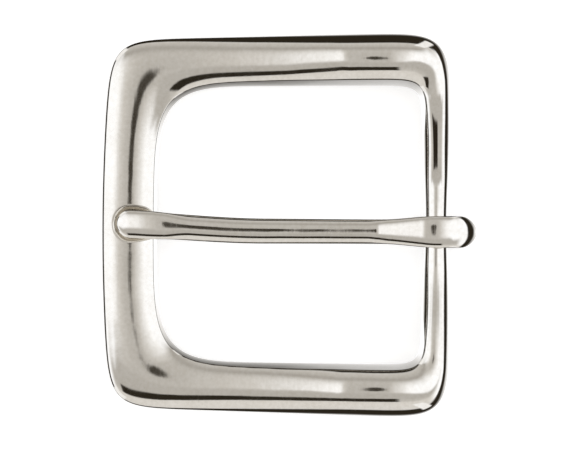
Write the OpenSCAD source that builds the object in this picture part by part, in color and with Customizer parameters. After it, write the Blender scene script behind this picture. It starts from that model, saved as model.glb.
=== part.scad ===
// Heel-bar belt buckle: a cast ring frame with its bar in one piece, and a prong that swings on the bar.
// The origin is the middle of the bar. +X points from the rim past the bar, +Y runs along the bar,
// and +Z is the front.

/* [Strap opening] */
// Distance from the middle of the bar to the far side of the opening
opening_l = 35.6; // [34.6:0.2:37]
// Width of the opening across its middle
opening_w = 35.3; // [34.6:0.1:36.4]
// How much the opening widens towards the bar, in mm for each mm of length, on each side
opening_flare = 0.008; // [0:0.002:0.02]

/* [Frame outline] */
// Width of the rim that the prong rests on
rim_w = 6.86; // [5.5:0.02:8]
// Width of the frame across its middle
frame_w = 47.96; // [47:0.02:50]
// How much the frame widens towards the bar, in mm for each mm of length, on each side
frame_flare = 0.026; // [0:0.002:0.04]
// How far the rim's ends fall back from its middle
rim_bow = 1.1; // [0:0.1:2]

/* [Frame profile] */
// Diameter of the bar where the prong turns on it
bar_d = 2.8; // [2.4:0.01:2.9]
// Half the length of that round stretch
journal_half = 4; // [3.6:0.1:5]
// How much thicker the bar is towards the corners, on each side
bar_swell = 0.38; // [0.15:0.01:0.4]
// Height of the bar's axis above the surface that the buckle lies on
bar_height = 2.85; // [2.8:0.05:3.2]
// Height of the rim
rim_h = 3.9; // [3.9:0.05:4.2]
// Greatest height of the arms
arm_h = 7.45; // [7:0.05:7.8]
// Rise of the arms' underside above that surface
arch_h = 1.2; // [0:0.1:1.6]

/* [Notch] */
// Radius of the groove that takes the prong's tip
notch_r = 3.5; // [3.4:0.1:3.7]
// Height of its floor above the bar's axis
notch_floor = 0.2; // [0.16:0.02:0.24]
// Distance from the bar's axis to where its floor starts to rise to the closed end
notch_reach = 39; // [39:0.1:39.6]

/* [Prong] */
// Distance from the bar's axis to the prong's tip
prong_l = 40.55; // [40:0.05:40.6]
// Width of the shank near the tip
shank_w = 3.3; // [3:0.05:3.6]
// Width of the eye
eye_w = 4; // [3.6:0.1:4.4]
// Height of the shank's top above the bar's axis
shank_top = 2.7; // [2.5:0.05:2.9]
// Height of the shank's underside above the bar's axis
shank_under = 0.38; // [0.38:0.02:0.5]
// Distance from the bar's axis to the top of the eye
eye_top = 4.3; // [3.8:0.1:4.6]
// Distance from the bar's axis to the eye's nose
eye_nose = 5.2; // [4.5:0.05:6]
// Distance from the bar's axis to the bottom of the eye
eye_bottom = 2.75; // [2.4:0.05:2.8]
// Gap all round between the bar and the eye's bore
bore_gap = 0.1; // [0.05:0.01:0.1]
// How far the eye has slid along the bar from its middle
prong_shift = -0.85; // [-1:0.05:1]

/* [Smoothness] */
// Cross-sections round the frame
ring_steps = 96; // [72:8:120]
// Points round each cross-section
section_steps = 28; // [20:4:32]

/* [Hidden] */

nickel = [0.80, 0.78, 0.74];
bar_r = bar_d / 2;
table_z = -bar_height;
round_fn = 96;

// The outlines are drawn about a point half way between the bar and the far side of the opening.
centre_x = -0.52 * opening_l;
// Squareness of the outlines: 2 is round, and a larger number has tighter corners.
outer_square_rim = 11;
outer_square_bar = 9.3;
inner_square_rim = 5.3;
inner_square_bar = 15;
opening_bow = 0.33;
// The swell of the bar is full at this distance from its middle.
swell_end = 14;

// The arms rise from the rim ever more steeply, meet a gentle crown at a soft crease, and fall from its apex
// along a quarter of an ellipse.
rise_x = -37;
rise_power = 1.85;
crease_x = -11.8;
crease_w = 1;
crown_r = 51;
apex_x = -6.3;
shoulder_l = 9.5;
// The arms' underside clears the resting surface between these two places.
arch_span = [-36, -1];
arch_apex = 0.65;
// Squareness of the frame's sections: over the parting line, in the rim and on the arms' outer and inner
// sides, with the spans of X over which the one turns into the other, and under it.
rim_square = 2.05;
arm_outer_square = 2.9;
arm_outer_span = [-36, -13];
arm_inner_square = 2.7;
arm_inner_span = [-34, -13];
frame_under_square = 2.8;
// On the side of the opening a section's curve aims at this height, and it ends early, at an edge. The edge's
// height is a share of the curve's, and the curve is stretched sideways by a share of its width.
rim_aim = -0.33;
arm_aim = 0.4;
rim_edge = 0.54;
arm_edge = 0.8;
rim_stretch = 0.06;
arm_stretch = 0.1;
arm_edge_span = [-38, -16];
// A drafted wall falls from that edge to a foot at this share of the depth below the parting line.
wall_foot = 0.55;
wall_power = 1.3;
// A faint ridge runs along the arms' crest: its slope on either side, and how far it is rounded.
ridge_slope = 0.03;
ridge_round = 0.12;
// The castings reach this far below the resting surface before they are ground flat.
grind = 0.15;

// The end of the prong's tip is half a circle in plan, and its top slopes down to it.
tip_r = 1.75;
tip_widening = 0.12;
tip_widening_span = [-36.5, -33];
tip_top = 1.85;
tip_slope = 0.19;
tip_blend = 0.35;
tip_rounding = 0.5;
// The shank bends back between these two places, so that the tip lies in the middle of the notch.
bend_span = [-42, -22];
// The shank narrows by this much on each side towards the eye, and spreads to the eye's width from here.
shank_taper = 0.1;
eye_spread_x = -7;
// Its top rises a little and then steeply, and meets the crown over the bar at a soft crease.
first_rise_x = -13;
first_slope = 0.012;
eye_rise_x = -7.5;
rise_blend = 0.04;
eye_crease_x = -1.7;
eye_crease_w = 0.5;
eye_crown_r = 12;
// Squareness of the eye's outline from the side, over the front.
eye_front_square = 2.2;
// Squareness of the nose from above, and the angles round the bar, from +X over the front, between which the
// eye's flat top turns into it.
nose_square = 2;
nose_start = 60;
nose_end = -10;
// Height of the dome over the tip, the shank and the eye, the spans of X over which each turns into the next,
// and the most of the prong's thickness that a dome takes.
tip_dome = 0.4;
shank_dome = 0.85;
eye_dome = 0.45;
tip_dome_span = [-34.5, -31];
eye_dome_span = [-9, -6];
dome_share = 0.65;
// Squareness of the prong's sections.
shank_square = 2.4;
eye_square = 3;
under_square = 2.4;
// The eye's wall thins to this at its end, which lies at this angle round the bar from +X over the front.
hook_wall_end = 1.05;
hook_end = -186;
// Height of the dome behind the bar as a share of the section, and how much narrower the end is than the eye.
hook_dome = 0.8;
hook_narrowing = 0.8;
// The sections of the eye start inside the bore, which is then cut out.
core_r = 0.9;
core_start = -3.5;

function mix(a, b, t) = a + (b - a) * t;
function smooth(a, b, x) =
    let (t = max(0, min(1, (x - a) / (b - a))))
    t * t * (3 - 2 * t);
// From a to b as x goes over a span.
function change(a, b, span, x) = mix(a, b, smooth(span[0], span[1], x));
function soft_min(a, b, k) =
    let (h = max(k - abs(a - b), 0) / k)
    min(a, b) - h * h * k / 4;
// Distance from the middle to the edge of a rounded unit square, in the direction phi.
function square_r(phi, n) = pow(pow(abs(cos(phi)), n) + pow(abs(sin(phi)), n), -1 / n);

// One point of a ring's outline. reach is its length towards the rim and the bar, and square is its
// squareness there.
function outline(phi, reach, half_w, square, flare, bow, swell) =
    let (
        to_bar = cos(phi) >= 0,
        r = square_r(phi, to_bar ? square[1] : square[0]),
        u = r * cos(phi),
        v = r * sin(phi),
        x = (to_bar ? reach[1] : reach[0]) * u,
        y = v * (half_w + flare * x),
        bend = to_bar ? swell * u * smooth(0, swell_end, abs(y)) : -bow * u * v * v
    )
    [centre_x + x + bend, y];

function inner_point(phi) = outline(phi, [opening_l + centre_x, -centre_x - bar_r], opening_w / 2,
    [inner_square_rim, inner_square_bar], opening_flare, opening_bow, -bar_swell);

// The outer point lies straight across the section from the inner one, and on the mitre at the corners.
function across(phi) =
    let (
        steep = abs(sin(phi)) > abs(cos(phi)),
        p = steep ? abs(cos(phi) / sin(phi)) : abs(sin(phi) / cos(phi)),
        q = p * mix(opening_w / frame_w, 1, pow(p, 4)),
        a = steep ? 90 - atan(q) : atan(q),
        b = cos(phi) >= 0 ? a : 180 - a
    )
    sin(phi) >= 0 ? b : -b;

function outer_point(phi) = outline(across(phi), [opening_l + rim_w + centre_x, bar_r - centre_x],
    frame_w / 2, [outer_square_rim, outer_square_bar], frame_flare, rim_bow, bar_swell);

// How much a place on the ring belongs to the bar: 1 in the journal and 0 in the arms.
function barness(x, y) = x > apex_x ? 1 - smooth(journal_half + 1, 17, abs(y)) : 0;

// Height of the frame's crest above the resting surface.
function crown_h(x) = arm_h - pow(x - apex_x, 2) / (2 * crown_r);
function rise_h(x) =
    let (t = max(0, x - rise_x) / (crease_x - rise_x))
    mix(rim_h, crown_h(crease_x), pow(t, rise_power));
function shoulder_h(x) = mix(bar_height, arm_h, sqrt(1 - pow(min(1, (x - apex_x) / shoulder_l), 2)));
function arm_top(x) = x > apex_x
    ? shoulder_h(x)
    : mix(rise_h(x), crown_h(x), smooth(crease_x - crease_w, crease_x + crease_w, x));

// Height of the frame's underside, before it is ground flat.
function arm_under(x) =
    let (
        middle = mix(arch_span[0], arch_span[1], arch_apex),
        foot = x < middle ? arch_span[0] : arch_span[1]
    )
    mix(-grind, arch_h, smooth(foot, middle, x));

// The closed cross-section of the frame between its inner and outer outlines at phi. Its outer side is widest
// at the height of the bar's axis, where the two halves of the mould part.
function frame_section(phi) =
    let (
        near = inner_point(phi),
        far = outer_point(phi),
        mid = (near + far) / 2,
        half = (far - near) / 2,
        bar = barness(mid.x, mid.y),
        top = mix(arm_top(mid.x) - bar_height, half.x, bar),
        under = mix(bar_height - arm_under(mid.x), half.x, bar),
        bar_round = sqrt(bar),
        outer_square = mix(change(rim_square, arm_outer_square, arm_outer_span, mid.x), 2, bar_round),
        inner_square = mix(change(rim_square, arm_inner_square, arm_inner_span, mid.x), 2, bar_round),
        under_square = mix(frame_under_square, 2, bar),
        aim = change(rim_aim, arm_aim, arm_edge_span, mid.x) * (1 - bar),
        edge = change(rim_edge, arm_edge, arm_edge_span, mid.x) * (1 - bar),
        stretch = 1 + change(rim_stretch, arm_stretch, arm_edge_span, mid.x) * pow(1 - bar, 2),
        edge_s = stretch * pow(1 - pow(edge, inner_square), 1 / inner_square),
        edge_z = mix(aim, top, edge),
        foot = -wall_foot * under * (1 - bar),
        ridge = change(0, ridge_slope, arm_outer_span, mid.x) * (1 - bar)
    )
    [for (j = [0 : section_steps - 1])
        let (
            a = 360 * j / section_steps,
            over = sin(a) > 0,
            inside = cos(a) < 0,
            r = square_r(a, over ? (inside ? inner_square : outer_square) : under_square),
            s = r * cos(a),
            h = abs(r * sin(a)),
            side = !inside || !over ? s
                : h > edge ? stretch * s
                : (1 - edge_s) * pow(h / edge, wall_power) - 1,
            fall = ridge * h * (norm([norm(half) * side, ridge_round]) - ridge_round),
            z = !over ? mix(inside ? foot : 0, -under, h)
                : !inside ? top * h - fall
                : h > edge ? mix(aim, top, h) - fall
                : mix(foot, edge_z, h / edge) - fall
        )
        [mid.x + half.x * side, mid.y + half.y * side, z]];

// A closed skin over a run of cross-sections, with a flat cap at each end.
module skin(sections) {
    n = len(sections[0]);
    last = len(sections) - 1;
    sides = [for (i = [0 : last - 1], j = [0 : n - 1])
        let (
            k = (j + 1) % n,
            a = i * n + j,
            b = i * n + k,
            c = a + n,
            d = b + n
        )
        each [[a, b, d], [a, d, c]]];
    first_cap = [for (j = [n - 1 : -1 : 0]) j];
    last_cap = [for (j = [0 : n - 1]) last * n + j];
    polyhedron([for (s = sections) each s], concat(sides, [first_cap, last_cap]));
}

// The ring runs from one end of the journal round to the other, with its sections closest at the corners.
module ring() {
    corner_crowding = 10.3;
    inside_journal = 0.5;
    least_step = 1;
    start = asin(2 * journal_half / opening_w) - inside_journal;
    phis = [for (i = [0 : ring_steps])
        let (t = 360 * i / ring_steps, phi = t + corner_crowding * sin(4 * t))
        if (phi > start + least_step && phi < 360 - start - least_step) phi];
    skin([for (phi = concat([start], phis, [360 - start])) frame_section(phi)]);
}

module frame() {
    journal_overlap = 2;
    journal_l = 2 * (journal_half + journal_overlap);
    groove_z = notch_floor + notch_r;
    groove_l = 12;
    floor_size = [60, 60, 4];
    color(nickel) difference() {
        union() {
            ring();
            rotate([90, 0, 0]) cylinder(r = bar_r, h = journal_l, center = true, $fn = round_fn);
        }
        translate([-notch_reach, 0, groove_z]) sphere(r = notch_r, $fn = round_fn);
        translate([-notch_reach, 0, groove_z]) rotate([0, 90, 0])
            cylinder(r = notch_r, h = groove_l, $fn = round_fn);
        translate([centre_x - floor_size.x / 2, -floor_size.y / 2, table_z - floor_size.z])
            cube(floor_size);
    }
}

// How far the middle of the prong lies from the middle of the buckle.
function sideways(x) = change(0, prong_shift, bend_span, x);

function shank_half(x) =
    shank_w / 2 - shank_taper * smooth(-prong_l, eye_spread_x, x)
    + change(tip_widening, 0, tip_widening_span, x)
    + (eye_w / 2 - shank_w / 2 + shank_taper) * smooth(eye_spread_x, 0, x);

// The dome above the prong's widest point.
function dome_h(x, top) = min(
    change(tip_dome, shank_dome, tip_dome_span, x) + change(0, eye_dome - shank_dome, eye_dome_span, x),
    dome_share * (top - shank_under));

function eye_crown(x) = eye_top - x * x / (2 * eye_crown_r);
function ramp(x, start, slope) = -soft_min(0, slope * (start - x), rise_blend);
function shank_z(x) =
    let (
        still_to_rise = eye_crown(eye_crease_x) - shank_top - first_slope * (eye_crease_x - first_rise_x),
        eye_slope = still_to_rise / (eye_crease_x - eye_rise_x),
        tip = soft_min(tip_top + tip_slope * (x + prong_l), shank_top, tip_blend),
        rise = ramp(x, first_rise_x, first_slope) + ramp(x, eye_rise_x, eye_slope)
    )
    mix(tip + rise, eye_crown(x), smooth(eye_crease_x - eye_crease_w, eye_crease_x + eye_crease_w, x));

// A cross-section standing on a line: at is its foot, up its direction, low and high its ends along it.
function prong_section(at, up, low, high, half_w, dome, square) =
    [for (j = [0 : section_steps - 1])
        let (
            a = 360 * j / section_steps,
            over = sin(a) >= 0,
            r = square_r(a, over ? square : under_square),
            h = high - dome + r * sin(a) * (over ? dome : high - dome - low)
        )
        [at + up.x * h, sideways(at) - half_w * r * cos(a), up.y * h]];

function tip_section(b) =
    let (
        x = tip_r - prong_l - tip_r * sin(b),
        shrink = pow(cos(b), tip_rounding),
        top = shank_z(x),
        dome = dome_h(x, top),
        widest = top - dome
    )
    prong_section(x, [0, 1], widest - (widest - shank_under) * shrink, widest + dome * shrink,
        shank_half(x) * cos(b), dome * shrink, shank_square);

function shank_section(x) =
    let (
        top = shank_z(x),
        under = mix(shank_under, core_r, smooth(core_start, 0, x)),
        square = mix(shank_square, eye_square, smooth(eye_spread_x, 0, x))
    )
    prong_section(x, [0, 1], under, top, shank_half(x), dome_h(x, top), square);

// Distance from the bar's axis to the outer face of the eye, which is a rounded square quarter over the front
// and a quarter of an ellipse behind.
function eye_r(a) =
    let (
        side = a > -90 ? eye_nose : mix(eye_bottom, bar_r + hook_wall_end, smooth(-90, hook_end, a)),
        end = a > 0 ? eye_top : eye_bottom,
        n = a > 0 ? eye_front_square : 2
    )
    pow(pow(abs(cos(a)) / side, n) + pow(abs(sin(a)) / end, n), -1 / n);

function eye_section(a) =
    let (
        to_hook = smooth(nose_start, nose_end, a),
        outer = eye_r(a),
        dome = mix(eye_dome, hook_dome * (outer - core_r), to_hook),
        narrow = mix(1, hook_narrowing, smooth(-120, hook_end, a)),
        square = mix(eye_square, nose_square, to_hook)
    )
    prong_section(0, [cos(a), sin(a)], core_r, outer, eye_w / 2 * narrow, dome, square);

module prong_blank() {
    tip_ends = [83, 68, 52, 36, 18];
    shank_start = tip_r - prong_l;
    shank_steps = 34;
    eye_step = 8;
    skin(concat(
        [for (b = tip_ends) tip_section(b)],
        [for (i = [0 : shank_steps - 1]) shank_section(shank_start * (1 - i / shank_steps))],
        [for (a = [90 : -eye_step : hook_end + 1]) eye_section(a)],
        [eye_section(hook_end)]
    ));
}

module prong() {
    color(nickel) difference() {
        prong_blank();
        rotate([90, 0, 0]) cylinder(r = bar_r + bore_gap, h = 3 * eye_w, center = true, $fn = round_fn);
    }
}

frame();
prong();
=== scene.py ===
"""Looks of a heel-bar belt buckle: a polished, plated ring with its bar, and the prong that swings on it."""

import math

import bpy
import numpy as np
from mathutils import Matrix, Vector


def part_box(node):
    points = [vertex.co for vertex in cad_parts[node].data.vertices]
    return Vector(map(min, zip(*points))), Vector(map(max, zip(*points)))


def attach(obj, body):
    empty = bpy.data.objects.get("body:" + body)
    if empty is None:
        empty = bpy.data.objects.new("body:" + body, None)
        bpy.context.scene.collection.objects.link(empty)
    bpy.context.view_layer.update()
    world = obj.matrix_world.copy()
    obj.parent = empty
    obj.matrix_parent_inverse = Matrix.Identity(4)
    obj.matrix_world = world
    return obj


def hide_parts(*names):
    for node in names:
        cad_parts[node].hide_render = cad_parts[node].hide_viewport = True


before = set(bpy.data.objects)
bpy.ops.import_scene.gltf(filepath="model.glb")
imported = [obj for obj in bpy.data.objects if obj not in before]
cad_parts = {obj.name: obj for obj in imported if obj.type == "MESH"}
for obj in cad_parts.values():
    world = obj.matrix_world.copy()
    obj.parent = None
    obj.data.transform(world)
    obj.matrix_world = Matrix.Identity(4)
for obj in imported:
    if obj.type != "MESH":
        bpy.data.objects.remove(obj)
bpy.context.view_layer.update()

MM = 0.001
FRAME_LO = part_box("frame")[0] / MM
PRONG_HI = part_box("prong")[1] / MM

# Driving dimensions in millimetres, from the middle of the bar. The lengths are the CAD model's.
OPENING_L = 35.6
OPENING_W = 35.3
OPENING_FLARE = 0.008
OPENING_BOW = 0.33
RIM_W = -FRAME_LO.x - OPENING_L
FRAME_W = 47.96
FRAME_FLARE = 0.026
RIM_BOW = 1.1
BAR_R = 1.4
BAR_SWELL = 0.38
SWELL_END = 14.0
JOURNAL_HALF = 4.0
# The bar's section turns from the corners' into a circle between these distances from its middle.
BAR_BLEND = (JOURNAL_HALF + 1, 17.0)
TABLE_Z = FRAME_LO.z
RIM_H = 3.9
ARM_H = 7.45
ARCH_H = 1.2
CENTRE_X = -0.52 * OPENING_L

# Squareness of the outlines and sections: 2 is round, and a larger number has tighter corners.
OUTER_SQUARE_RIM, OUTER_SQUARE_BAR = 11.0, 9.3
INNER_SQUARE_RIM, INNER_SQUARE_BAR = 5.3, 15.0
RIM_SQUARE, ARM_OUTER_SQUARE, ARM_INNER_SQUARE = 2.05, 2.9, 2.7
ARM_OUTER_SPAN, ARM_INNER_SPAN = (-36.0, -13.0), (-34.0, -13.0)
FRAME_UNDER_SQUARE = 2.8

# On the side of the opening a section's curve aims at a height and ends early, at an edge, from which a
# drafted wall falls to a foot. The edge is a share of the curve's height, and the foot of the depth below the
# axis. The span is where the rim's values turn into the arms'.
RIM_AIM, ARM_AIM = -0.33, 0.4
RIM_EDGE, ARM_EDGE = 0.54, 0.8
RIM_STRETCH, ARM_STRETCH = 0.06, 0.1
ARM_EDGE_SPAN = (-38.0, -16.0)
WALL_FOOT, WALL_POWER = 0.55, 1.3

# A faint ridge runs along the arms' crest: its slope on either side, and how far it is rounded.
RIDGE_SLOPE, RIDGE_ROUND = 0.03, 0.12

# The arms' profile, from the rim towards the bar.
RISE_X, RISE_POWER = -37.0, 1.85
CREASE_X, CREASE_W = -11.8, 1.0
CROWN_R = 51.0
APEX_X = -6.3
SHOULDER_L = 9.5
ARCH_SPAN, ARCH_APEX = (-36.0, -1.0), 0.65
GRIND = 0.15

NOTCH_R = 3.5
NOTCH_FLOOR = 0.2
NOTCH_REACH = 39.0
NOTCH_END_X = -33.0
# How far the edges of the notch, of the ground back, of the bore and of the hook's end are rounded.
NOTCH_EDGE = 0.13
GROUND_EDGE = 0.12
BORE_EDGE = 0.16
HOOK_EDGE = 0.12

PRONG_L = 40.55
SHANK_W = 3.3
EYE_W = 4.0
SHANK_TOP = 2.7
SHANK_UNDER = 0.38
EYE_TOP = PRONG_HI.z
EYE_NOSE = PRONG_HI.x
EYE_BOTTOM = 2.75
BORE_R = BAR_R + 0.1
PRONG_SHIFT = -0.85
BEND_SPAN = (-42.0, -22.0)
TIP_R = 1.75
TIP_WIDENING = 0.12
TIP_WIDENING_SPAN = (-36.5, -33.0)
TIP_TOP = 1.85
TIP_SLOPE = 0.19
TIP_BLEND = 0.35
TIP_ROUNDING = 0.5
SHANK_TAPER = 0.1
EYE_SPREAD_X = -7.0
FIRST_RISE_X, FIRST_SLOPE = -13.0, 0.012
EYE_RISE_X = -7.5
RISE_BLEND = 0.04
EYE_CREASE_X, EYE_CREASE_W = -1.7, 0.5
EYE_CROWN_R = 12.0
EYE_FRONT_SQUARE = 2.2
TIP_DOME, SHANK_DOME, EYE_DOME = 0.4, 0.85, 0.45
TIP_DOME_SPAN, EYE_DOME_SPAN = (-34.5, -31.0), (-9.0, -6.0)
DOME_SHARE = 0.65
NOSE_SQUARE, NOSE_START, NOSE_END = 2.0, 60.0, -10.0
SHANK_SQUARE, EYE_SQUARE, UNDER_SQUARE = 2.4, 3.0, 2.4
HOOK_WALL_END = 1.05
HOOK_START, HOOK_END = -120.0, -186.0
HOOK_DOME, HOOK_NARROWING = 0.8, 0.8
CORE_R = 0.9
CORE_START = -3.5


def mix(a, b, t):
    return a + (b - a) * t


def smooth(a, b, x):
    t = np.clip((x - a) / (b - a), 0, 1)
    return t * t * (3 - 2 * t)


def change(a, b, span, x):
    """From a to b as x goes over a span."""
    return mix(a, b, smooth(*span, x))


def soft_min(a, b, k):
    h = np.maximum(k - np.abs(a - b), 0) / k
    return np.minimum(a, b) - h * h * k / 4


def soft_max(a, b, k):
    return -soft_min(-a, -b, k)


def square_r(angle, n):
    """Distance from the middle to the edge of a rounded unit square, in the direction angle, in radians."""
    return (np.abs(np.cos(angle)) ** n + np.abs(np.sin(angle)) ** n) ** (-1 / n)


def outline(phi, reach, half_w, square, flare, bow, swell):
    """Points of an outline. reach and square hold its length and its squareness, each towards rim and bar."""
    to_bar = np.cos(phi) >= 0
    r = square_r(phi, np.where(to_bar, square[1], square[0]))
    u, v = r * np.cos(phi), r * np.sin(phi)
    x = np.where(to_bar, reach[1], reach[0]) * u
    y = v * (half_w + flare * x)
    bend = np.where(to_bar, swell * u * smooth(0, SWELL_END, np.abs(y)), -bow * u * v * v)
    return np.stack([CENTRE_X + x + bend, y], axis=-1)


def inner_point(phi):
    reach = (OPENING_L + CENTRE_X, -CENTRE_X - BAR_R)
    square = (INNER_SQUARE_RIM, INNER_SQUARE_BAR)
    return outline(phi, reach, OPENING_W / 2, square, OPENING_FLARE, OPENING_BOW, -BAR_SWELL)


def across(phi):
    """The outer outline's angle for the point straight across the section, or on the mitre at a corner."""
    c, s = np.abs(np.cos(phi)), np.abs(np.sin(phi))
    p = np.minimum(c, s) / np.maximum(c, s)
    q = np.arctan(p * mix(OPENING_W / FRAME_W, 1, p**4))
    a = np.where(s > c, math.pi / 2 - q, q)
    a = np.where(np.cos(phi) >= 0, a, math.pi - a)
    return np.where(np.sin(phi) >= 0, a, -a)


def outer_point(phi):
    reach = (OPENING_L + RIM_W + CENTRE_X, BAR_R - CENTRE_X)
    square = (OUTER_SQUARE_RIM, OUTER_SQUARE_BAR)
    return outline(across(phi), reach, FRAME_W / 2, square, FRAME_FLARE, RIM_BOW, BAR_SWELL)


def crown_h(x):
    return ARM_H - (x - APEX_X) ** 2 / (2 * CROWN_R)


def arm_top(x):
    """Height of the frame's crest: a steepening rise, a soft crease, a gentle crown and a round shoulder."""
    t = np.maximum(0, x - RISE_X) / (CREASE_X - RISE_X)
    rise = mix(RIM_H, crown_h(CREASE_X), t**RISE_POWER)
    fall = mix(-TABLE_Z, ARM_H, np.sqrt(1 - np.clip((x - APEX_X) / SHOULDER_L, 0, 1) ** 2))
    rise = mix(rise, crown_h(x), smooth(CREASE_X - CREASE_W, CREASE_X + CREASE_W, x))
    return np.where(x > APEX_X, fall, rise)


def arm_under(x):
    """Height of the frame's underside before it is ground flat: an arch under the arms."""
    middle = mix(*ARCH_SPAN, ARCH_APEX)
    share = np.where(x < middle, smooth(ARCH_SPAN[0], middle, x), smooth(ARCH_SPAN[1], middle, x))
    return mix(-GRIND, ARCH_H, share)


def groove_z(x, y):
    """Height of the notch's floor and sides over a place, and far above the frame where there is no notch."""
    along = np.minimum(x + NOTCH_REACH, 0)
    away = np.hypot(along, y)
    floor = NOTCH_FLOOR + NOTCH_R - np.sqrt(np.maximum(NOTCH_R**2 - away**2, 0))
    return np.where(away < NOTCH_R, floor, NOTCH_FLOOR + NOTCH_R)


def spaced(low, high, spacing, count):
    """count angles from low to high, as close together at each place as spacing(angle) asks for."""
    fine = np.linspace(low, high, 20001)
    middle = (fine[1:] + fine[:-1]) / 2
    inner, outer = inner_point(fine), outer_point(fine)
    step = np.maximum(*[np.linalg.norm(np.diff(line, axis=0), axis=1) for line in (inner, outer)])
    total = np.concatenate([[0], np.cumsum(step / spacing(middle))])
    return np.interp(np.linspace(0, total[-1], count), total, fine)


def ring_spacing(phi):
    """Distance between the frame's sections as a share of the widest: they are closest at the notch."""
    notch_share = 0.3
    notch_half, notch_fade = 3.2, 6
    y = np.abs(inner_point(phi)[:, 1])
    notch = np.where(np.cos(phi) < 0, 1 - smooth(notch_half, notch_fade, y), 0)
    return mix(1.0, notch_share, notch)


def frame_points(rings, around):
    """The frame's skin as rings of points, each a closed section between the inner and outer outlines."""
    phi = spaced(-math.pi, math.pi, ring_spacing, rings + 1)[:-1]
    near, far = inner_point(phi), outer_point(phi)
    mid, half = (near + far)[:, None] / 2, (far - near)[:, None] / 2
    x = mid[..., 0]
    bar = np.where(x > APEX_X, 1 - smooth(*BAR_BLEND, np.abs(mid[..., 1])), 0)
    top = mix(arm_top(x) + TABLE_Z, half[..., 0], bar)
    under = mix(-TABLE_Z - arm_under(x), half[..., 0], bar)
    bar_round = np.sqrt(bar)
    outer_square = mix(change(RIM_SQUARE, ARM_OUTER_SQUARE, ARM_OUTER_SPAN, x), 2, bar_round)
    inner_square = mix(change(RIM_SQUARE, ARM_INNER_SQUARE, ARM_INNER_SPAN, x), 2, bar_round)
    under_square = mix(FRAME_UNDER_SQUARE, 2, bar)
    aim = change(RIM_AIM, ARM_AIM, ARM_EDGE_SPAN, x) * (1 - bar)
    edge = np.maximum(1e-6, change(RIM_EDGE, ARM_EDGE, ARM_EDGE_SPAN, x) * (1 - bar))
    stretch = 1 + change(RIM_STRETCH, ARM_STRETCH, ARM_EDGE_SPAN, x) * (1 - bar) ** 2
    edge_s = stretch * (1 - edge**inner_square) ** (1 / inner_square)
    foot = -WALL_FOOT * under * (1 - bar)

    a = (2 * math.pi * np.arange(around) / around)[None, :]
    over, inside = np.sin(a) > 1e-9, np.cos(a) < 0
    r = square_r(a, np.where(over, np.where(inside, inner_square, outer_square), under_square))
    s, h = r * np.cos(a), np.abs(r * np.sin(a))
    wall = (1 - edge_s) * (h / edge) ** WALL_POWER - 1
    side = np.where(inside & over, np.where(h > edge, stretch * s, wall), s)
    inner_z = np.where(h > edge, mix(aim, top, h), mix(foot, mix(aim, top, edge), h / edge))
    ridge = change(0, RIDGE_SLOPE, ARM_OUTER_SPAN, x) * (1 - bar)
    half_w = np.hypot(half[..., 0], half[..., 1])
    fall = ridge * h * (np.hypot(half_w * side, RIDGE_ROUND) - RIDGE_ROUND)
    over_z = np.where(inside, inner_z, top * h) - fall
    z = np.where(over, over_z, mix(np.where(inside, foot, 0), -under, h))
    px = x + half[..., 0] * side
    py = mid[..., 1] + half[..., 1] * side
    z = np.where(over & (px < NOTCH_END_X), soft_min(z, groove_z(px, py), NOTCH_EDGE), z)
    z = soft_max(z, np.full_like(z, TABLE_Z), GROUND_EDGE)
    return np.stack([px, py, z], axis=-1)


def sideways(x):
    """How far the middle of the prong lies from the middle of the buckle."""
    return change(0, PRONG_SHIFT, BEND_SPAN, x)


def shank_half(x):
    narrow = SHANK_W / 2 - SHANK_TAPER * smooth(-PRONG_L, EYE_SPREAD_X, x)
    tip = change(TIP_WIDENING, 0, TIP_WIDENING_SPAN, x)
    return narrow + tip + (EYE_W / 2 - SHANK_W / 2 + SHANK_TAPER) * smooth(EYE_SPREAD_X, 0, x)


def eye_crown(x):
    return EYE_TOP - x * x / (2 * EYE_CROWN_R)


def rise_from(x, start, slope):
    """Height of a straight climb with a soft start."""
    return -soft_min(0, slope * (start - x), RISE_BLEND)


def shank_z(x):
    """Height of the prong's top: it slopes up from the tip, lies level, rises a little and then steeply."""
    still_to_rise = eye_crown(EYE_CREASE_X) - SHANK_TOP - FIRST_SLOPE * (EYE_CREASE_X - FIRST_RISE_X)
    eye_slope = still_to_rise / (EYE_CREASE_X - EYE_RISE_X)
    tip = soft_min(TIP_TOP + TIP_SLOPE * (x + PRONG_L), SHANK_TOP, TIP_BLEND)
    shank = tip + rise_from(x, FIRST_RISE_X, FIRST_SLOPE) + rise_from(x, EYE_RISE_X, eye_slope)
    return mix(shank, eye_crown(x), smooth(EYE_CREASE_X - EYE_CREASE_W, EYE_CREASE_X + EYE_CREASE_W, x))


def dome_h(x, top):
    """Height of the dome above the prong's widest point."""
    dome = change(TIP_DOME, SHANK_DOME, TIP_DOME_SPAN, x) + change(0, EYE_DOME - SHANK_DOME, EYE_DOME_SPAN, x)
    return np.minimum(dome, DOME_SHARE * (top - SHANK_UNDER))


def prong_section(at, up, low, high, half_w, dome, square, around):
    """A closed section standing on the line from at along up, between low and high, clear of the bore."""
    a = 2 * math.pi * np.arange(around) / around
    over = np.sin(a) >= 0
    r = square_r(a, np.where(over, square, UNDER_SQUARE))
    h = high - dome + r * np.sin(a) * np.where(over, dome, high - dome - low)
    far_below = -10.0
    bore = math.sqrt(max(BORE_R**2 - at**2, 0)) if abs(at) < BORE_R else far_below
    h = soft_max(h, np.full_like(h, bore), BORE_EDGE)
    return np.stack([at + up[0] * h, sideways(at) - half_w * r * np.cos(a), up[1] * h], axis=-1)


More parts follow.
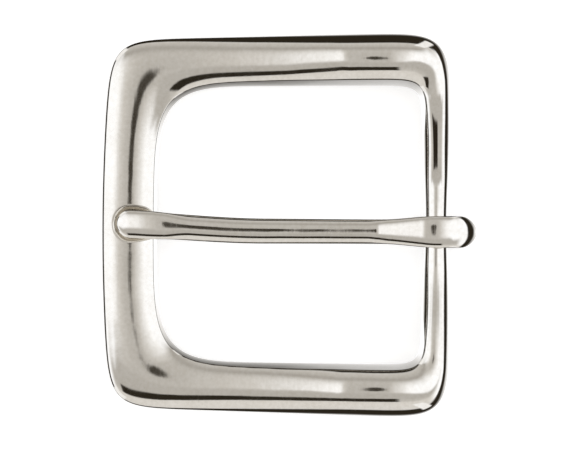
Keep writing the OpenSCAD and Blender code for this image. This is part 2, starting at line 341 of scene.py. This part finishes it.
def tip_section(b, around):
    """A section through the tip, from full width where b is 0 to the foremost point at a right angle."""
    x = TIP_R - PRONG_L - TIP_R * math.sin(b)
    shrink = math.cos(b) ** TIP_ROUNDING
    top = float(shank_z(x))
    dome = float(dome_h(x, top))
    widest = top - dome
    low = widest - (widest - SHANK_UNDER) * shrink
    half_w = float(shank_half(x)) * math.cos(b)
    return prong_section(x, (0, 1), low, widest + dome * shrink, half_w, dome * shrink, SHANK_SQUARE, around)


def shank_section(x, around):
    top = float(shank_z(x))
    under = mix(SHANK_UNDER, CORE_R, float(smooth(CORE_START, 0, x)))
    square = mix(SHANK_SQUARE, EYE_SQUARE, float(smooth(EYE_SPREAD_X, 0, x)))
    return prong_section(x, (0, 1), under, top, float(shank_half(x)), float(dome_h(x, top)), square, around)


def eye_r(degrees):
    """Distance from the bar's axis to the eye's outer face at an angle from +X over the front."""
    c, s = abs(math.cos(math.radians(degrees))), abs(math.sin(math.radians(degrees)))
    behind = mix(EYE_BOTTOM, BAR_R + HOOK_WALL_END, float(smooth(-90, HOOK_END, degrees)))
    side = EYE_NOSE if degrees > -90 else behind
    end, n = (EYE_TOP, EYE_FRONT_SQUARE) if degrees > 0 else (EYE_BOTTOM, 2)
    return ((c / side) ** n + (s / end) ** n) ** (-1 / n)


def eye_section(degrees, around):
    """A section through the eye or its hook, standing at an angle from +X over the front."""
    to_hook = float(smooth(NOSE_START, NOSE_END, degrees))
    outer = eye_r(degrees)
    dome = mix(EYE_DOME, HOOK_DOME * (outer - CORE_R), to_hook)
    narrow = mix(1, HOOK_NARROWING, float(smooth(HOOK_START, HOOK_END, degrees)))
    square = mix(EYE_SQUARE, NOSE_SQUARE, to_hook)
    up = (math.cos(math.radians(degrees)), math.sin(math.radians(degrees)))
    return prong_section(0, up, CORE_R, outer, EYE_W / 2 * narrow, dome, square, around)


def rounded_end(section, along, length, steps):
    """Sections that carry a last one on by length in the direction along, and round its edge."""
    narrowing = 0.45
    centre = section.mean(axis=0)
    out = []
    for i in range(1, steps + 1):
        b = math.pi / 2 * i / steps
        shrink = 1 - narrowing * (1 - math.cos(b))
        out.append(centre + (section - centre) * shrink + np.array(along) * length * math.sin(b))
    return out


def prong_points(around):
    """The prong's skin as rings of points, from the tip along the shank and round the eye to its end."""
    tip_steps, shank_steps, eye_steps, end_steps = 30, 250, 180, 6
    shank_start, shank_end = TIP_R - PRONG_L, -0.1
    # The foremost two rings are closer together, where the tip is blunt.
    tip_angles = np.radians(np.concatenate([[89, 87.5], np.linspace(86, 3, tip_steps)]))
    rings = [tip_section(b, around) for b in tip_angles]
    rings += [shank_section(x, around) for x in np.linspace(shank_start, shank_end, shank_steps)]
    rings += [eye_section(a, around) for a in np.linspace(90, HOOK_END, eye_steps)]
    end = math.radians(HOOK_END)
    rings += rounded_end(rings[-1], (math.sin(end), 0, -math.cos(end)), HOOK_EDGE, end_steps)
    return np.stack(rings)


def skin(name, points, closed):
    """A smooth mesh object over rings of points in millimetres. An open run of rings gets end caps."""
    rings, around = points.shape[:2]
    index = np.arange(rings * around).reshape(rings, around)
    after = np.roll(index, -1, axis=0) if closed else index[1:]
    here = index if closed else index[:-1]
    quads = np.stack([here, np.roll(here, -1, axis=1), np.roll(after, -1, axis=1), after], axis=-1)
    verts = points.reshape(-1, 3)
    faces = quads.reshape(-1, 4).tolist()
    if not closed:
        ends = [points[0].mean(axis=0), points[-1].mean(axis=0)]
        first, last = len(verts), len(verts) + 1
        verts = np.concatenate([verts, ends])
        faces += [[int(index[0, (j + 1) % around]), int(index[0, j]), first] for j in range(around)]
        faces += [[int(index[-1, j]), int(index[-1, (j + 1) % around]), last] for j in range(around)]
    mesh = bpy.data.meshes.new(name)
    mesh.from_pydata((verts * MM).tolist(), [], faces)
    mesh.validate()
    mesh.shade_smooth()
    piece = bpy.data.objects.new(name, mesh)
    bpy.context.scene.collection.objects.link(piece)
    return piece


def node(tree, kind, **values):
    """A new node with its properties set from the keywords."""
    made = tree.nodes.new(kind)
    for key, value in values.items():
        setattr(made, key, value)
    return made


def noise(tree, place, scale, detail):
    """The level of a cloudy pattern at a place. scale is in cells per metre."""
    made = node(tree, "ShaderNodeTexNoise", noise_dimensions="3D")
    made.inputs["Scale"].default_value = scale
    made.inputs["Detail"].default_value = detail
    tree.links.new(place, made.inputs["Vector"])
    return made.outputs["Fac"]


def stretched(tree, place, turn, scale):
    """The place turned about Z by so many degrees and scaled, for a pattern of long fine lines."""
    made = node(tree, "ShaderNodeMapping")
    made.inputs["Rotation"].default_value = (0, 0, math.radians(turn))
    made.inputs["Scale"].default_value = scale
    tree.links.new(place, made.inputs["Vector"])
    return made.outputs["Vector"]


def ranged(tree, value, low, high, to_low, to_high):
    """The value carried from one range to another, and held at its ends."""
    made = node(tree, "ShaderNodeMapRange")
    made.inputs["From Min"].default_value = low
    made.inputs["From Max"].default_value = high
    made.inputs["To Min"].default_value = to_low
    made.inputs["To Max"].default_value = to_high
    tree.links.new(value, made.inputs["Value"])
    return made.outputs["Result"]


def bump(tree, height, distance, before=None):
    """A surface direction roughened by a height pattern, on top of an earlier one."""
    made = node(tree, "ShaderNodeBump")
    made.inputs["Distance"].default_value = distance
    tree.links.new(height, made.inputs["Height"])
    if before:
        tree.links.new(before, made.inputs["Normal"])
    return made.outputs["Normal"]


NICKEL = (0.80, 0.78, 0.74)
# Shares of that colour where the plating is clean and where it is dull.
CLEAN = (1.08, 1.08, 1.08)
DULL = (0.96, 0.945, 0.92)


def plating(name, colour):
    """Polished nickel plate: a mirror with polishing waves, hairlines, fine mottling and handling haze."""
    material = bpy.data.materials.new(name)
    material.use_nodes = True
    tree = material.node_tree
    shader = tree.nodes["Principled BSDF"]
    shader.inputs["Metallic"].default_value = 1.0
    shader.inputs["Base Color"].default_value = (*colour, 1)
    place = node(tree, "ShaderNodeTexCoord").outputs["Object"]

    # Patches of haze, and scratches that run askew, make the mirror less sharp here and there.
    haze = noise(tree, place, 220.0, 5.0)
    scratches = noise(tree, stretched(tree, place, 38, (5200.0, 140.0, 900.0)), 1.0, 2.0)
    worn = ranged(tree, haze, 0.35, 0.75, 0.045, 0.12)
    scratched = ranged(tree, scratches, 0.62, 0.75, 0.0, 0.06)
    tree.links.new(maths(tree, "ADD", worn, scratched), shader.inputs["Roughness"])

    # Fine mottling and the same haze dull its colour a little.
    mottle = noise(tree, place, 1900.0, 3.0)
    cloudy = ranged(tree, haze, 0.3, 0.7, 0.0, 0.4)
    specks = ranged(tree, mottle, 0.3, 0.7, 0.0, 0.6)
    tint = node(tree, "ShaderNodeMix", data_type="RGBA")
    tint.inputs["A"].default_value = (*[c * k for c, k in zip(colour, CLEAN)], 1)
    tint.inputs["B"].default_value = (*[c * k for c, k in zip(colour, DULL)], 1)
    tree.links.new(maths(tree, "ADD", cloudy, specks), tint.inputs["Factor"])
    tree.links.new(tint.outputs["Result"], shader.inputs["Base Color"])

    # The polisher's waves, hairlines parallel to the bar, and the mottling.
    wave_depth, hair_depth, mottle_depth = 0.04 * MM, 0.0018 * MM, 0.0012 * MM
    waves = noise(tree, place, 190.0, 1.5)
    hairs = noise(tree, stretched(tree, place, 0, (3000.0, 120.0, 3000.0)), 1.0, 2.0)
    normal = bump(tree, waves, wave_depth)
    normal = bump(tree, hairs, hair_depth, normal)
    normal = bump(tree, mottle, mottle_depth, normal)
    tree.links.new(normal, shader.inputs["Normal"])
    return material


def seen(red, green, blue):
    """The light whose reflection in the nickel looks like this colour, given as display levels up to 255."""
    levels = (red, green, blue)
    return [((level / 255 + 0.055) / 1.055) ** 2.4 / metal for level, metal in zip(levels, NICKEL)]


def ramp(tree, turn, stops):
    """Colours round a whole turn, as (degrees, colour) or (degrees, colour, alpha) rows."""
    made = node(tree, "ShaderNodeValToRGB")
    made.color_ramp.elements.remove(made.color_ramp.elements[1])
    for i, (degrees, colour, *alpha) in enumerate(stops):
        place = 0.5 + degrees / 360
        element = made.color_ramp.elements.new(place) if i else made.color_ramp.elements[0]
        element.position = place
        element.color = (*colour, *(alpha or [1]))
    tree.links.new(turn, made.inputs["Fac"])
    return made


def maths(tree, operation, *values):
    """The result of a Math node on sockets or numbers."""
    made = node(tree, "ShaderNodeMath", operation=operation)
    for i, value in enumerate(values):
        if isinstance(value, (int, float)):
            made.inputs[i].default_value = value
        else:
            tree.links.new(value, made.inputs[i])
    return made.outputs[0]


def blend_colours(tree, factor, a, b):
    made = node(tree, "ShaderNodeMix", data_type="RGBA")
    tree.links.new(factor, made.inputs["Factor"])
    tree.links.new(a, made.inputs["A"])
    tree.links.new(b, made.inputs["B"])
    return made.outputs["Result"]


def smooth_step(tree, degrees, low, high):
    """0 to 1 as the angle goes from low to high, whichever of the two is larger."""
    made = node(tree, "ShaderNodeMapRange", interpolation_type="SMOOTHSTEP")
    made.inputs["From Min"].default_value = low
    made.inputs["From Max"].default_value = high
    tree.links.new(degrees, made.inputs["Value"])
    return made.outputs["Result"]


def mixed(tree, a, b, share):
    """A number between a and b."""
    part = maths(tree, "MULTIPLY", share, maths(tree, "SUBTRACT", b, a))
    return maths(tree, "ADD", a, part)


def whole_turn(tree, degrees):
    """Where a ramp finds an angle: -180 to 180 degrees run from 0 to 1."""
    return maths(tree, "ADD", maths(tree, "DIVIDE", degrees, 360.0), 0.5)


def plain(tree, colour):
    made = node(tree, "ShaderNodeRGB")
    made.outputs[0].default_value = (*colour, 1)
    return made.outputs[0]


def window(tree, degrees, low, high, soft):
    """1 between low and high, fading to 0 over soft degrees on either side."""
    rise = smooth_step(tree, degrees, low - soft, low)
    return maths(tree, "MULTIPLY", rise, smooth_step(tree, degrees, high + soft, high))


def degrees_of(tree, radians):
    return maths(tree, "MULTIPLY", radians, 180 / math.pi)


def grey(level, warm=1.0):
    """Light seen in the plating as a slightly warm grey of that level."""
    return seen(level + 4 * warm, level - 1 * warm, level - 9 * warm)


def studio():
    """A light tent round the object. Its grey ceiling grows brighter towards the two ends, where white panels
    stand. Along the sides there is a grey card past +Y, and a black gap and a paler card past -Y. It is dark
    round the level of the table, and the lens shows as a dark disc nearly straight overhead."""
    world = bpy.data.worlds.new("studio")
    bpy.context.scene.world = world
    world.use_nodes = True
    tree = world.node_tree
    place = node(tree, "ShaderNodeTexCoord")
    way = node(tree, "ShaderNodeVectorMath", operation="NORMALIZE")
    tree.links.new(place.outputs["Generated"], way.inputs[0])
    parts = node(tree, "ShaderNodeSeparateXYZ")
    tree.links.new(way.outputs[0], parts.inputs[0])
    x, y, z = parts.outputs

    # Angles in degrees: from straight up, towards the ends, and round the X axis towards the sides.
    polar = degrees_of(tree, maths(tree, "ARCCOSINE", z))
    to_end = degrees_of(tree, maths(tree, "ARCSINE", x))
    to_either_end = maths(tree, "ABSOLUTE", to_end)
    to_side = degrees_of(tree, maths(tree, "ARCTAN2", y, z))

    dark, white = grey(36), grey(252, 0.2)
    low = smooth_step(tree, polar, 40, 80)
    end_turn = maths(tree, "MULTIPLY", maths(tree, "SIGN", x), mixed(tree, to_either_end, polar, low))
    ends = ramp(tree, whole_turn(tree, end_turn), [
        (-180, white), (-156, white), (-149, dark), (-84, dark), (-75, white), (-31, white),
        (-28, grey(250, 0.4)), (-24, grey(240, 0.5)), (-20, grey(215, 0.7)), (-16, grey(197)),
        (-12, grey(188)), (-8, grey(178)),
        (3, grey(178)), (5.5, grey(192)), (8.5, grey(205, 0.8)), (12, grey(219, 0.7)), (16, grey(234, 0.5)),
        (20, grey(248, 0.4)), (24, white), (82, white), (88, dark), (142, dark), (150, white),
        (180, white)])
    sides = ramp(tree, whole_turn(tree, to_side), [
        (-180, white), (-172, grey(222, 0.6)), (-157, grey(165, 0.5)), (-150, grey(110, 0.5)), (-142, dark),
        (-98, dark), (-91, grey(206, 0.8)), (-50, grey(208)), (-36, grey(204)), (-30, grey(185)),
        (-18, grey(172)), (-8, grey(172)), (-2, grey(185)), (12, grey(186)), (18, grey(184)), (24, grey(172)),
        (30, grey(160)), (36, grey(163)), (44, grey(176)), (55, grey(184)), (66, grey(192, 0.8)), (71, dark),
        (142, dark), (150, grey(110, 0.5)), (157, grey(165, 0.5)), (172, grey(222, 0.6)), (180, white)])

    # The end panels show between the cards of the two sides, more widely the farther towards an end.
    halved = maths(tree, "MULTIPLY", 0.5, smooth_step(tree, to_either_end, 24, 36))
    card_turn = maths(tree, "MULTIPLY", to_side, maths(tree, "SUBTRACT", 1.0, halved))
    cards = maths(tree, "ADD", smooth_step(tree, card_turn, 6, 33), smooth_step(tree, card_turn, -2, -7))
    share = maths(tree, "MULTIPLY", cards, smooth_step(tree, to_either_end, 64, 40))
    both = blend_colours(tree, share, ends.outputs["Color"], sides.outputs["Color"])
    gap = maths(tree, "MULTIPLY", window(tree, to_side, -32, -20.5, 2.5), window(tree, to_end, -27, 7, 5))
    both = blend_colours(tree, gap, both, plain(tree, dark))

    # Light comes in past the tent's four upright corners, where the dark round the table is broken.
    round_z = maths(tree, "ABSOLUTE", degrees_of(tree, maths(tree, "ARCTAN2", y, x)))
    corners = maths(tree, "ADD", window(tree, round_z, 126, 150, 4), window(tree, round_z, 52, 65, 3))
    slits = maths(tree, "MULTIPLY", corners, window(tree, polar, 60, 114, 8))
    both = blend_colours(tree, slits, both, plain(tree, grey(236, 0.5)))

    # The lens is a soft disc a little off straight up. Its distance counts for less to the sides, so it is
    # wider that way.
    lens_to_side, lens_to_end = 2.4, -1.7
    lens_r, lens_faded_r, side_share = 2.2, 4.0, 0.8
    off_side = maths(tree, "MULTIPLY", maths(tree, "SUBTRACT", to_side, lens_to_side), side_share)
    off_end = maths(tree, "SUBTRACT", to_end, lens_to_end)
    side_squared = maths(tree, "MULTIPLY", off_side, off_side)
    end_squared = maths(tree, "MULTIPLY", off_end, off_end)
    off_lens = maths(tree, "SQRT", maths(tree, "ADD", side_squared, end_squared))
    lens = smooth_step(tree, off_lens, lens_faded_r, lens_r)
    both = blend_colours(tree, lens, both, plain(tree, grey(52)))
    tree.links.new(both, tree.nodes["Background"].inputs["Color"])


def floor():
    """A pale surface under the buckle. It is clear from below, so that the back can be looked at."""
    size = 3.0
    below_back = 0.03
    mesh = bpy.data.meshes.new("floor")
    corners = [(-size, -size, 0), (size, -size, 0), (size, size, 0), (-size, size, 0)]
    mesh.from_pydata(corners, [], [(0, 1, 2, 3)])
    piece = bpy.data.objects.new("floor", mesh)
    piece.location.z = (TABLE_Z - below_back) * MM
    bpy.context.scene.collection.objects.link(piece)
    piece.visible_glossy = False
    material = bpy.data.materials.new("floor_paper")
    material.use_nodes = True
    tree = material.node_tree
    shader = tree.nodes["Principled BSDF"]
    shader.inputs["Base Color"].default_value = (0.9, 0.9, 0.9, 1)
    shader.inputs["Roughness"].default_value = 0.9
    shader.inputs["Specular IOR Level"].default_value = 0.0
    shader.inputs["Emission Color"].default_value = (1, 1, 1, 1)
    shader.inputs["Emission Strength"].default_value = 0.55
    side = node(tree, "ShaderNodeNewGeometry")
    clear = node(tree, "ShaderNodeBsdfTransparent")
    either = node(tree, "ShaderNodeMixShader")
    tree.links.new(side.outputs["Backfacing"], either.inputs[0])
    tree.links.new(shader.outputs[0], either.inputs[1])
    tree.links.new(clear.outputs[0], either.inputs[2])
    tree.links.new(either.outputs[0], tree.nodes["Material Output"].inputs["Surface"])
    mesh.materials.append(material)


def camera():
    """A long lens straight over the buckle, with +Y up the picture."""
    data = bpy.data.cameras.new("camera")
    data.lens = 200.0
    data.sensor_width = 36.0
    data.clip_start = 0.01
    data.clip_end = 20.0
    view_w = 72.5 * MM
    over_x, over_y = -19.2 * MM, -0.45 * MM
    turn = 0.3
    distance = view_w * data.lens / data.sensor_width
    piece = bpy.data.objects.new("camera", data)
    piece.location = (over_x, over_y, distance)
    piece.rotation_euler = (0, 0, math.radians(turn))
    bpy.context.scene.collection.objects.link(piece)
    bpy.context.scene.camera = piece


camera()
studio()
floor()

frame_piece = skin("frame_casting", frame_points(rings=620, around=144), closed=True)
frame_piece.data.materials.append(plating("frame_nickel", NICKEL))
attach(frame_piece, "frame")
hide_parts("frame")

prong_piece = skin("prong_casting", prong_points(around=96), closed=False)
prong_piece.data.materials.append(plating("prong_nickel", NICKEL))
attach(prong_piece, "prong")
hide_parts("prong")

bpy.context.scene.view_settings.view_transform = "Standard"
